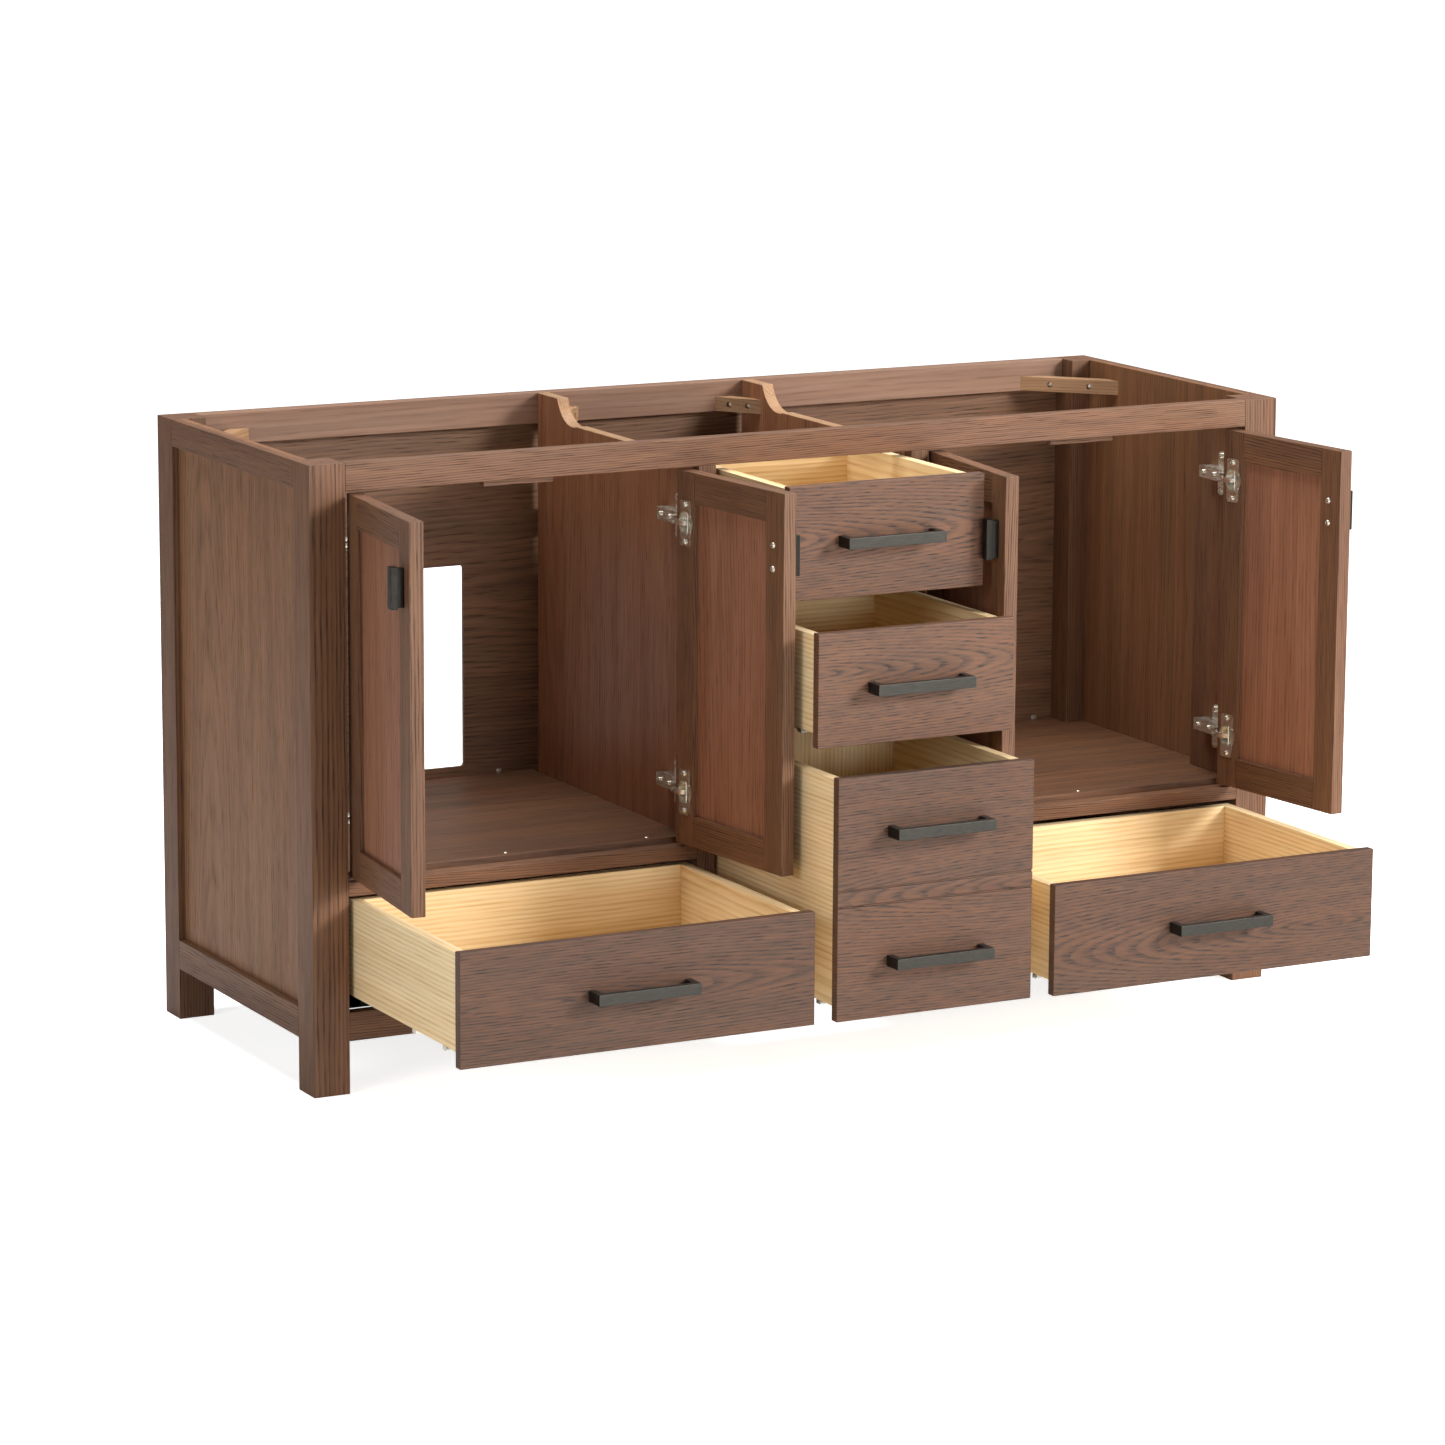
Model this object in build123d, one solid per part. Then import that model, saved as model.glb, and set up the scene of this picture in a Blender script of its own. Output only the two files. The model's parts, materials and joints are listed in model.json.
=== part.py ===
from build123d import *
import math
import os

# A double-sink bathroom vanity cabinet, standing open: four framed doors swung out and five
# drawers pulled out on undermount runners. Millimetres. X runs to the right, Y to the back,
# Z up from the floor. While modelling, y = 0 is the front face of the front posts.

# ---- driving sizes of the carcass ----
WIDTH = 1524.0
DEPTH = 533.4
HEIGHT = 863.6
POST = 53.0
BOARD = 20.0
TOP_RAIL_HEIGHT = 39.0
SIDE_TOP_RAIL_HEIGHT = 38.0
SIDE_LOWER_RAIL_HEIGHT = 43.0
SIDE_RAIL_THICKNESS = 10.0
SIDE_PANEL_THICKNESS = 12.0
LOWER_EDGE = 73.5
APRON_HEIGHT = 40.0
MID_RAIL_BOTTOM = 274.0
MID_RAIL_DEPTH = 24.0
FLOOR_TOP = 303.0
FLOOR_THICKNESS = 18.0
CENTRE_HALF = 154.0
STILE_WIDTH = 27.0
PARTITION = 18.0
PARTITION_FRONT_HEIGHT = 830.0
BACK_RAIL_HEIGHT = 45.0
BACK_RAIL_THICKNESS = 18.0
BACK_PANEL_THICKNESS = 6.0
BACK_PANEL_INSET = 1.4
CUTOUT_WIDTH = 152.4
CUTOUT_BOTTOM = 317.5
CUTOUT_HEIGHT = 298.0
CUTOUT_CORNER = 5.0
PARTITION_SWEEP = ((380.0, PARTITION_FRONT_HEIGHT), (427.0, 840.0), (443.5, HEIGHT))
HINGE_CLEAT_BACK = {"outer": 128.0, "inner": 100.0}
HINGE_CLEAT_GAP = 2.0
RUNNER_CLEAT_HEIGHT = 36.0
STOP_LENGTH = 104.0
STOP_BACK = 34.0
STOP_HEIGHTS = (815.0, 850.0)
STOP_FRONT_GAP = 0.6

# ---- diagonal braces in the back corners ----
BRACE_BOTTOM = 819.5
BRACE_HEIGHT = 21.0
BRACE_SCREW_RADIUS = 4.0
BRACE_BORE = 8.0
BRACE_SCREW_DEPTH = 5.0
BRACE_SCREW_HEAD = 3.0
BRACE_SCREW_SHARE = 0.3

# ---- doors ----
DOOR_WIDTH = 260.0
DOOR_THICKNESS = 20.0
DOOR_BOTTOM = 298.5
DOOR_TOP = 821.0
DOOR_GAP = 2.2
DOOR_MEMBER = 43.0
DOOR_PANEL = 6.0
DOOR_GROOVE = 3.0
PIVOT_IN = 11.2
PIVOT_BACK = 4.2
DOOR_OPEN_ANGLE = 96.0
CUP_HEIGHTS = (373.0, 749.0)
CUP_FROM_EDGE = 21.5
CUP_RADIUS = 17.5
CUP_DEPTH = 12.0
CUP_WALL = 1.5
HINGE_FLANGE = (25.0, 63.5, 1.2)
FLANGE_SCREW_STEP = 26.0
FLANGE_SCREW = (3.8, 1.6)
HINGE_PIN_RADIUS = 1.5
CUP_CORNER = 4.0
LINK_RADII = (16.2, 23.0)
LINK_ANGLES = (50.0, 105.0)
LINK_THICKNESS = 6.0
KNOB_CENTRE_Z = 732.0
KNOB_FROM_FREE_EDGE = 25.5
KNOB_SIZE = (14.5, 19.0, 56.0)
KNOB_NECK = 9.0
KNOB_NECK_INSET = 2.0
KNOB_SCREW_STEP = 16.0
KNOB_SCREW = (4.5, 2.5)

# ---- hinge arms, measured from the wall and from the front of the posts ----
WING = {"thickness": 2.5, "y": (49.0, 65.0), "half_height": 32.0, "corner": 7.0}
ARM_BASE = {"x": (0.0, 8.0), "y": (42.0, 88.0), "half_height": 9.0}
ARM_COVER = {"x": (8.0, 18.0), "y": (30.0, 93.0), "half_height": 8.5, "corner": 2.0}
ARM_CHEEK = ((9.0, 23.0), (28.0, 23.0), (28.0, 27.0), (18.0, 42.0), (9.0, 42.0))
CHEEK_THICKNESS = 2.0
CHEEK_BOTTOMS = (-5.6, 3.6)
WING_SCREW = {"radius": 4.0, "length": 3.0, "y": 57.0, "x": 3.0, "step": 26.0}
ARM_SCREW = {"radius": 3.6, "length": 3.0, "ys": (52.0, 80.0), "x": 18.5}

# ---- drawers ----
FRONT_THICKNESS = 15.0
FRONT_GAP = 2.4
WIDE_FRONT = (116.0, 271.7)
DEEP_FRONT = (116.0, 449.7)
DIVIDER_HEIGHT = 25.0
TOP_FRONT_TOP = 822.0
BOX_SIDE_CLEARANCE = 8.0
CENTRE_BOX_CLEARANCE = 7.0
BOX_BOARD = 15.0
BOX_BACK_Y = 367.0
BOX_ABOVE_FRONT_BOTTOM = 18.0
BOX_BELOW_FRONT_TOP = 4.7
BOTTOM_PANEL_RISE = 30.0
BOTTOM_PANEL = 6.0
GROOVE_WIDTH = 2.2
GROOVE_DEPTH = 2.5
PULL_LENGTH = 151.0
PULL_HEIGHT = 15.3
PULL_REACH = 30.5
PULL_THICKNESS = 10.0
RUNNER_BELOW_FRONT = 2.0
RUNNER_START = 21.0
RUNNER_LENGTH = 356.0
RUNNER_WIDTH = 20.0
RUNNER_INSET = 25.0
RUNNER_FLANGE = (1.5, 19.0)
RUNNER_BED = 2.0
RUNNER_TRACK_TOP = 10.0
MIDDLE_RUNNER = (10.4, 19.0)
DRAWER_RUNNER_LOW = 19.4
MIDDLE_RUNNER_ENDS = (3.0, 5.0)
DRAWER_RUNNER_GAP = 1.0

# How far each drawer stands open.
OPENING = {"top_drawer": 206.0, "middle_drawer": 291.0, "deep_drawer": 350.0,
           "left_drawer": 347.0, "right_drawer": 357.0}

# ---- derived places ----
HALF = WIDTH / 2
POST_INNER = HALF - POST
PANEL_INNER = HALF - SIDE_RAIL_THICKNESS - SIDE_PANEL_THICKNESS
BAY_EDGE = CENTRE_HALF + STILE_WIDTH
BAY_CENTRE = (BAY_EDGE + POST_INNER) / 2
BACK_POST_Y = DEPTH - POST
BACK_PANEL_Y = DEPTH - BACK_PANEL_INSET - BACK_PANEL_THICKNESS
BACK_RAIL_Y = BACK_PANEL_Y - BACK_RAIL_THICKNESS
APRON_TOP = LOWER_EDGE + APRON_HEIGHT
TOP_RAIL_BOTTOM = HEIGHT - TOP_RAIL_HEIGHT
PARTITION_BACK = BACK_RAIL_Y
DIVIDER_LOW = DEEP_FRONT[1] + FRONT_GAP
SMALL_FRONT = (TOP_FRONT_TOP - DEEP_FRONT[1] - 2 * DIVIDER_HEIGHT - 4 * FRONT_GAP) / 2
MIDDLE_FRONT = (DIVIDER_LOW + DIVIDER_HEIGHT + FRONT_GAP,
                DIVIDER_LOW + DIVIDER_HEIGHT + FRONT_GAP + SMALL_FRONT)
DIVIDER_HIGH = MIDDLE_FRONT[1] + FRONT_GAP
TOP_FRONT = (TOP_FRONT_TOP - SMALL_FRONT, TOP_FRONT_TOP)

# The part's origin is on the floor, under the middle of the open cabinet's outline.
FRONT_REACH = max(OPENING.values()) + PULL_REACH
ORIGIN_Y = (DEPTH - FRONT_REACH) / 2

# name: (front z range, x of the left and right walls of its opening, side clearance)
DRAWERS = {
    "top_drawer": (TOP_FRONT, -CENTRE_HALF, CENTRE_HALF, CENTRE_BOX_CLEARANCE),
    "middle_drawer": (MIDDLE_FRONT, -CENTRE_HALF, CENTRE_HALF, CENTRE_BOX_CLEARANCE),
    "deep_drawer": (DEEP_FRONT, -CENTRE_HALF, CENTRE_HALF, CENTRE_BOX_CLEARANCE),
    "left_drawer": (WIDE_FRONT, -POST_INNER, -BAY_EDGE, BOX_SIDE_CLEARANCE),
    "right_drawer": (WIDE_FRONT, BAY_EDGE, POST_INNER, BOX_SIDE_CLEARANCE),
}

# name: (x of the wall that carries its hinges, +1 if it closes towards +X, else -1)
DOORS = {
    "left_outer_door": (-POST_INNER, 1),
    "left_inner_door": (-BAY_EDGE, -1),
    "right_inner_door": (BAY_EDGE, 1),
    "right_outer_door": (POST_INNER, -1),
}


def block(x0, x1, y0, y1, z0, z1):
    """A board with its faces at the given coordinates, in either order."""
    size = (abs(x1 - x0), abs(y1 - y0), abs(z1 - z0))
    return Pos((x0 + x1) / 2, (y0 + y1) / 2, (z0 + z1) / 2) * Box(*size)


def rod(x, y, z, radius, length):
    """A cylinder along Y, from y to y + length."""
    return Pos(x, y + length / 2, z) * Rot(90, 0, 0) * Cylinder(radius, length)


def flipped(shape):
    """The shape's mirror image, left to right."""
    return shape.mirror(Plane.YZ)


def pair(shape):
    """The shape on the right and its mirror image on the left."""
    return [shape, flipped(shape)]


def save(name, solids):
    """Write one node: its solids, moved from modelling coordinates to the part's origin."""
    moved = [Pos(0, -ORIGIN_Y, 0) * solid for item in solids for solid in item.solids()]
    body = moved[0] if len(moved) == 1 else Compound(children=moved)
    export_step(body, "parts/" + name + ".step")


# ---- carcass ----
def front_posts():
    """Square legs at the front corners, full height."""
    return pair(block(POST_INNER, HALF, 0, POST, 0, HEIGHT))


def back_posts():
    """Square legs at the back corners, full height."""
    return pair(block(POST_INNER, HALF, BACK_POST_Y, DEPTH, 0, HEIGHT))


def side_rails():
    """Upper and lower rails planted on each side panel, flush with the posts."""
    outer = HALF - SIDE_RAIL_THICKNESS
    upper = block(outer, HALF, POST, BACK_POST_Y, HEIGHT - SIDE_TOP_RAIL_HEIGHT, HEIGHT)
    lower_top = LOWER_EDGE + SIDE_LOWER_RAIL_HEIGHT
    lower = block(outer, HALF, POST, BACK_POST_Y, LOWER_EDGE, lower_top)
    return pair(upper) + pair(lower)


def side_panels():
    """Flat side panels behind the planted rails, between the posts."""
    return pair(block(PANEL_INNER, PANEL_INNER + SIDE_PANEL_THICKNESS,
                      POST, BACK_POST_Y, LOWER_EDGE, HEIGHT))


def front_top_rail():
    """Long rail across the top of the front, between the posts."""
    return [block(-POST_INNER, POST_INNER, 0, BOARD, TOP_RAIL_BOTTOM, HEIGHT)]


def front_apron():
    """Long rail across the bottom of the front."""
    return [block(-POST_INNER, POST_INNER, 0, BOARD, LOWER_EDGE, APRON_TOP)]


def centre_stiles():
    """Uprights either side of the middle column of drawers."""
    return pair(block(CENTRE_HALF, BAY_EDGE, 0, BOARD, APRON_TOP, TOP_RAIL_BOTTOM))


def face_frame_rails():
    """Rails under the two door bays, and the two dividers of the drawer column."""
    mid_top = MID_RAIL_BOTTOM + BOARD
    mid = block(BAY_EDGE, POST_INNER, 0, MID_RAIL_DEPTH, MID_RAIL_BOTTOM, mid_top)
    dividers = [block(-CENTRE_HALF, CENTRE_HALF, 0, BOARD, z, z + DIVIDER_HEIGHT)
                for z in (DIVIDER_LOW, DIVIDER_HIGH)]
    return pair(mid) + dividers


def partition_outline():
    """Side view of a partition: low at the front, sweeping up to full height at the back."""
    rise_start, rise_middle, rise_end = PARTITION_SWEEP
    with BuildSketch(Plane.YZ) as outline:
        with BuildLine():
            Line((BOARD, LOWER_EDGE), (BOARD, PARTITION_FRONT_HEIGHT))
            Line((BOARD, PARTITION_FRONT_HEIGHT), rise_start)
            ThreePointArc(rise_start, rise_middle, rise_end)
            Line(rise_end, (PARTITION_BACK, HEIGHT))
            Line((PARTITION_BACK, HEIGHT), (PARTITION_BACK, LOWER_EDGE))
            Line((PARTITION_BACK, LOWER_EDGE), (BOARD, LOWER_EDGE))
        make_face()
    return outline.sketch


def partitions():
    """Upright boards between the bays and the drawer column."""
    board = extrude(partition_outline(), amount=PARTITION)
    left = Pos(-BAY_EDGE, 0, 0) * board
    right = Pos(CENTRE_HALF, 0, 0) * board
    return [left, right]


def bay_floors():
    """Cabinet floors under the two door bays, cut round the posts."""
    low = FLOOR_TOP - FLOOR_THICKNESS
    back = BACK_PANEL_Y
    left = block(-BAY_EDGE, -POST_INNER, MID_RAIL_DEPTH, back, low, FLOOR_TOP)
    left += block(-BAY_EDGE, -PANEL_INNER, POST, BACK_POST_Y, low, FLOOR_TOP)
    near = CENTRE_HALF + PARTITION
    right = block(near, POST_INNER, MID_RAIL_DEPTH, back, low, FLOOR_TOP)
    right += block(near, PANEL_INNER, POST, BACK_POST_Y, low, FLOOR_TOP)
    notch_left = block(-BAY_EDGE, -BAY_EDGE + PARTITION, PARTITION_BACK, back, low, FLOOR_TOP)
    return [left - notch_left, right]


def back_rails():
    """Rails across the top and bottom of the back, between the back posts."""
    top = block(-POST_INNER, POST_INNER, BACK_RAIL_Y, BACK_PANEL_Y,
                HEIGHT - BACK_RAIL_HEIGHT, HEIGHT)
    bottom = block(-POST_INNER, POST_INNER, BACK_RAIL_Y, BACK_PANEL_Y, LOWER_EDGE, APRON_TOP)
    return [top, bottom]


def back_panel():
    """Thin back with a plumbing cut-out behind each bay, from its middle towards the centre."""
    panel = block(-POST_INNER, POST_INNER, BACK_PANEL_Y, BACK_PANEL_Y + BACK_PANEL_THICKNESS,
                  LOWER_EDGE, HEIGHT)
    cutter = block(BAY_CENTRE - CUTOUT_WIDTH, BAY_CENTRE,
                   BACK_RAIL_Y, DEPTH, CUTOUT_BOTTOM, CUTOUT_BOTTOM + CUTOUT_HEIGHT)
    cutter = fillet(cutter.edges().filter_by(Axis.Y), CUTOUT_CORNER)
    return [panel - cutter - flipped(cutter)]


def hinge_cleats():
    """Upright strips that bring the hinges level with the posts and with the stile."""
    top = TOP_RAIL_BOTTOM - HINGE_CLEAT_GAP
    outer = block(POST_INNER, PANEL_INNER, POST, HINGE_CLEAT_BACK["outer"], FLOOR_TOP, top)
    inner = block(CENTRE_HALF + PARTITION, BAY_EDGE, MID_RAIL_DEPTH, HINGE_CLEAT_BACK["inner"],
                  FLOOR_TOP, top)
    return pair(outer) + [inner]


def runner_base(front):
    """Height of the underside of a drawer's runners."""
    return front[0] - RUNNER_BELOW_FRONT


def runner_cleats():
    """Strips that bring the drawer runners level with the edges of the openings."""
    base = runner_base(WIDE_FRONT)
    top = base + RUNNER_CLEAT_HEIGHT
    strips = pair(block(POST_INNER, PANEL_INNER, POST, BACK_POST_Y, base, top))
    strips.append(block(CENTRE_HALF + PARTITION, BAY_EDGE, BOARD, PARTITION_BACK, base, top))
    for front in (TOP_FRONT, MIDDLE_FRONT, DEEP_FRONT):
        base = runner_base(front)
        strips.append(block(-BAY_EDGE + PARTITION, -CENTRE_HALF, BOARD, PARTITION_BACK,
                            base, base + RUNNER_CLEAT_HEIGHT))
    return strips


# Plan of each diagonal brace: x of its end on the back rail, x of the wall, how far forward
# its end on the wall is, its depth; and the side, +1 for right.
BRACES = (
    (634.0, PANEL_INNER, 111.0, 30.0, 1),
    (634.0, PANEL_INNER, 111.0, 30.0, -1),
    (110.0, CENTRE_HALF, 61.0, 25.0, 1),
    (115.0, BAY_EDGE - PARTITION, 61.0, 25.0, -1),
)


def brace(plan):
    """One diagonal brace on the right-hand side, with two counterbored screw holes."""
    rail_x, wall_x, drop, depth, _ = plan
    y = BACK_RAIL_Y
    corners = [(rail_x, y), (wall_x, y - drop), (wall_x, y - drop + depth), (rail_x + depth, y)]
    face = make_face(Polyline(*corners, close=True))
    bar = Pos(0, 0, BRACE_BOTTOM) * extrude(face, amount=BRACE_HEIGHT, dir=(0, 0, 1))
    for place in brace_screw_places(plan):
        bar -= place * Cylinder(BRACE_SCREW_RADIUS, 2 * BRACE_BORE)
    return bar


def brace_screw_places(plan):
    """Location of each screw: on the brace's inner face, Z along the screw."""
    rail_x, wall_x, drop, _, _ = plan
    run = wall_x - rail_x
    angle = math.degrees(math.atan2(-drop, run))
    middle_z = BRACE_BOTTOM + BRACE_HEIGHT / 2
    return [Pos(rail_x + run * share, BACK_RAIL_Y - drop * share, middle_z)
            * Rot(0, 0, angle) * Rot(90, 0, 0)
            for share in (BRACE_SCREW_SHARE, 1 - BRACE_SCREW_SHARE)]


def braces():
    """Diagonal braces across the back corners, to screw the countertop to."""
    return [brace(plan) if plan[-1] > 0 else flipped(brace(plan)) for plan in BRACES]


def brace_screws():
    """Screws at the bottom of the counterbores."""
    screws = []
    for plan in BRACES:
        for place in brace_screw_places(plan):
            screw = (place * Pos(0, 0, -BRACE_SCREW_DEPTH - BRACE_SCREW_HEAD / 2)
                     * Cylinder(BRACE_SCREW_RADIUS, BRACE_SCREW_HEAD))
            screws.append(screw if plan[-1] > 0 else flipped(screw))
    return screws


def door_stops():
    """Strips behind the top rail that the closed doors meet."""
    start, end = BAY_CENTRE - STOP_LENGTH / 2, BAY_CENTRE + STOP_LENGTH / 2
    low, high = STOP_HEIGHTS
    upper = block(start, end, BOARD, STOP_BACK, TOP_RAIL_BOTTOM, high)
    lower = block(start, end, BOARD + STOP_FRONT_GAP, STOP_BACK, low, TOP_RAIL_BOTTOM)
    return pair(upper + lower)


def runner_channel(wall, into, base):
    """A fixed runner: flange on the wall at x = wall, bed under the drawer, raised track."""
    near = wall + into * RUNNER_INSET
    far = wall + into * (RUNNER_INSET + RUNNER_WIDTH)
    back = RUNNER_START + RUNNER_LENGTH
    thick, high = RUNNER_FLANGE
    flange = block(wall, wall + into * thick, RUNNER_START, back, base, base + high)
    bed = block(wall + into * thick, far, RUNNER_START, back, base, base + RUNNER_BED)
    track = block(near, far, RUNNER_START, back, base + RUNNER_BED, base + RUNNER_TRACK_TOP)
    return [flange, bed, track]


def runner_channels():
    """The fixed runners of all the drawers, two to a drawer."""
    rails = []
    for front, left, right, _ in DRAWERS.values():
        base = runner_base(front)
        rails += runner_channel(left, 1, base)
        rails += runner_channel(right, -1, base)
    return rails


def arm_block(part, height):
    """One block of a hinge arm, from its ranges in x and y and half its height."""
    half = part["half_height"]
    return block(*part["x"], *part["y"], height - half, height + half)


def hinge_arm(height):
    """Arm of a concealed hinge on a wall at x = 0, reaching forward to the door."""
    wings = block(0, WING["thickness"], *WING["y"],
                  height - WING["half_height"], height + WING["half_height"])
    wings = fillet(wings.edges().filter_by(Axis.X), WING["corner"])
    cover = arm_block(ARM_COVER, height)
    cover = fillet(cover.edges().filter_by(Axis.Z), ARM_COVER["corner"])
    whole = wings + arm_block(ARM_BASE, height) + cover
    cheek = extrude(make_face(Polyline(*ARM_CHEEK, close=True)), amount=CHEEK_THICKNESS,
                    dir=(0, 0, 1))
    for bottom in CHEEK_BOTTOMS:
        whole += Pos(0, 0, height + bottom) * cheek
    screw = Rot(0, 90, 0) * Cylinder(WING_SCREW["radius"], WING_SCREW["length"])
    for z in (height - WING_SCREW["step"], height + WING_SCREW["step"]):
        whole += Pos(WING_SCREW["x"], WING_SCREW["y"], z) * screw
    screw = Rot(0, 90, 0) * Cylinder(ARM_SCREW["radius"], ARM_SCREW["length"])
    for y in ARM_SCREW["ys"]:
        whole += Pos(ARM_SCREW["x"], y, height) * screw
    return whole


def hinge_arms():
    """The arms of the eight hinges."""
    arms = []
    for edge, closes_to in DOORS.values():
        for height in CUP_HEIGHTS:
            arm = hinge_arm(height)
            arms.append(Pos(edge, 0, 0) * (arm if closes_to > 0 else flipped(arm)))
    return arms


# ---- doors ----
# A door is modelled closed, with the wall that carries its hinges at x = 0 and the door
# towards +X, and is then turned about its hinge line to where it stands open.
def door_place(name, shape):
    """Turn a closed door's piece to its open place in the cabinet."""
    edge, closes_to = DOORS[name]
    pivot = Pos(PIVOT_IN, PIVOT_BACK, 0)
    opened = pivot * Rot(0, 0, -DOOR_OPEN_ANGLE) * Pos(-PIVOT_IN, -PIVOT_BACK, 0) * shape
    return Pos(edge, 0, 0) * (opened if closes_to > 0 else flipped(opened))


def door_panel():
    """Thin panel, its edges let into the frame's grooves."""
    inset = DOOR_MEMBER - DOOR_GROOVE
    middle = DOOR_THICKNESS / 2
    return block(DOOR_GAP + inset, DOOR_GAP + DOOR_WIDTH - inset,
                 middle - DOOR_PANEL / 2, middle + DOOR_PANEL / 2,
                 DOOR_BOTTOM + inset, DOOR_TOP - inset)


def door_frame():
    """Two stiles and two rails, grooved for the panel and bored for the hinge cups."""
    left, right = DOOR_GAP, DOOR_GAP + DOOR_WIDTH
    inner_left, inner_right = left + DOOR_MEMBER, right - DOOR_MEMBER
    hinge_stile = block(left, inner_left, 0, DOOR_THICKNESS, DOOR_BOTTOM, DOOR_TOP)
    free_stile = block(inner_right, right, 0, DOOR_THICKNESS, DOOR_BOTTOM, DOOR_TOP)
    low_rail = block(inner_left, inner_right, 0, DOOR_THICKNESS,
                     DOOR_BOTTOM, DOOR_BOTTOM + DOOR_MEMBER)
    top_rail = block(inner_left, inner_right, 0, DOOR_THICKNESS,
                     DOOR_TOP - DOOR_MEMBER, DOOR_TOP)
    for height in CUP_HEIGHTS:
        hinge_stile -= rod(DOOR_GAP + CUP_FROM_EDGE, DOOR_THICKNESS - CUP_DEPTH, height,
                           CUP_RADIUS, CUP_DEPTH)
    panel = door_panel()
    return [board - panel for board in (hinge_stile, free_stile, low_rail, top_rail)]


def hinge_cup(height):
    """Cup, flange and swinging link of one hinge; the link is part of a ring on the hinge line."""
    x = DOOR_GAP + CUP_FROM_EDGE
    wide, tall, thick = HINGE_FLANGE
    bottom = DOOR_THICKNESS - CUP_DEPTH
    cup = rod(x, bottom, height, CUP_RADIUS, CUP_DEPTH)
    flange = block(x - wide / 2, x + wide / 2, DOOR_THICKNESS, DOOR_THICKNESS + thick,
                   height - tall / 2, height + tall / 2)
    flange = fillet(flange.edges().filter_by(Axis.Y), CUP_CORNER)
    hollow = rod(x, bottom + CUP_WALL, height, CUP_RADIUS - CUP_WALL, CUP_DEPTH)
    shell = cup + flange - hollow
    pin_length = 2 * CUP_RADIUS - CUP_WALL
    pin = Pos(x, DOOR_THICKNESS - 2 * HINGE_PIN_RADIUS, height) * Cylinder(HINGE_PIN_RADIUS,
                                                                         pin_length)
    for z in (height - FLANGE_SCREW_STEP, height + FLANGE_SCREW_STEP):
        shell += rod(x, DOOR_THICKNESS + thick, z, *FLANGE_SCREW)
    return shell + pin + hinge_link(height)


def hinge_link(height):
    """Flat link, a sector of a ring about the hinge line."""
    inner, outer = LINK_RADII
    start, end = (math.radians(angle) for angle in LINK_ANGLES)
    middle = (start + end) / 2

    def at(radius, angle):
        return (PIVOT_IN + radius * math.cos(angle), PIVOT_BACK + radius * math.sin(angle))

    with BuildSketch() as sector:
        with BuildLine():
            ThreePointArc(at(outer, start), at(outer, middle), at(outer, end))
            Line(at(outer, end), at(inner, end))
            ThreePointArc(at(inner, end), at(inner, middle), at(inner, start))
            Line(at(inner, start), at(outer, start))
        make_face()
    return Pos(0, 0, height - LINK_THICKNESS / 2) * extrude(sector.sketch, amount=LINK_THICKNESS)


def door_knob():
    """Square bar knob near the free edge, on a narrower neck, with two screws from inside."""
    wide, reach, tall = KNOB_SIZE
    x = DOOR_GAP + DOOR_WIDTH - KNOB_FROM_FREE_EDGE
    z = KNOB_CENTRE_Z
    bar = block(x - wide / 2, x + wide / 2, -reach, -KNOB_NECK, z - tall / 2, z + tall / 2)
    half_wide, half_tall = wide / 2 - KNOB_NECK_INSET, tall / 2 - KNOB_NECK_INSET
    neck = block(x - half_wide, x + half_wide, -KNOB_NECK, 0, z - half_tall, z + half_tall)
    screws = [rod(x, DOOR_THICKNESS, z + step, *KNOB_SCREW)
              for step in (-KNOB_SCREW_STEP, KNOB_SCREW_STEP)]
    return [bar, neck] + screws


# ---- drawers ----
# A drawer is modelled shut and then moved forward to where it stands open.
def drawer_place(name, shape, share=1.0):
    """Move a shut drawer's piece forward by its share of the opening."""
    return Pos(0, -OPENING[name] * share, 0) * shape


def drawer_front(name):
    """Slab front; the deep one is scored to look like two drawers and a rail."""
    front, left, right, _ = DRAWERS[name]
    slab = block(left + FRONT_GAP, right - FRONT_GAP, 0, FRONT_THICKNESS, *front)
    if name == "deep_drawer":
        for z in (WIDE_FRONT[1], MID_RAIL_BOTTOM + BOARD):
            slab -= block(left, right, 0, GROOVE_DEPTH, z, z + GROOVE_WIDTH)
    return [slab]


def drawer_box(name):
    """Two sides, back, inner front and bottom."""
    front, left, right, clearance = DRAWERS[name]
    low = front[0] + BOX_ABOVE_FRONT_BOTTOM
    high = front[1] - BOX_BELOW_FRONT_TOP
    outer_left, outer_right = left + clearance, right - clearance
    inner_left, inner_right = outer_left + BOX_BOARD, outer_right - BOX_BOARD
    panel_low = front[0] + BOTTOM_PANEL_RISE
    panel_high = panel_low + BOTTOM_PANEL
    inner_front = FRONT_THICKNESS + BOX_BOARD
    sides = [block(outer_left, inner_left, FRONT_THICKNESS, BOX_BACK_Y, low, high),
             block(inner_right, outer_right, FRONT_THICKNESS, BOX_BACK_Y, low, high)]
    sub_front = block(inner_left, inner_right, FRONT_THICKNESS, inner_front, low, high)
    back = block(inner_left, inner_right, BOX_BACK_Y - BOX_BOARD, BOX_BACK_Y, panel_high, high)
    bottom = block(inner_left, inner_right, inner_front, BOX_BACK_Y, panel_low, panel_high)
    return sides + [sub_front, back, bottom]


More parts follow.
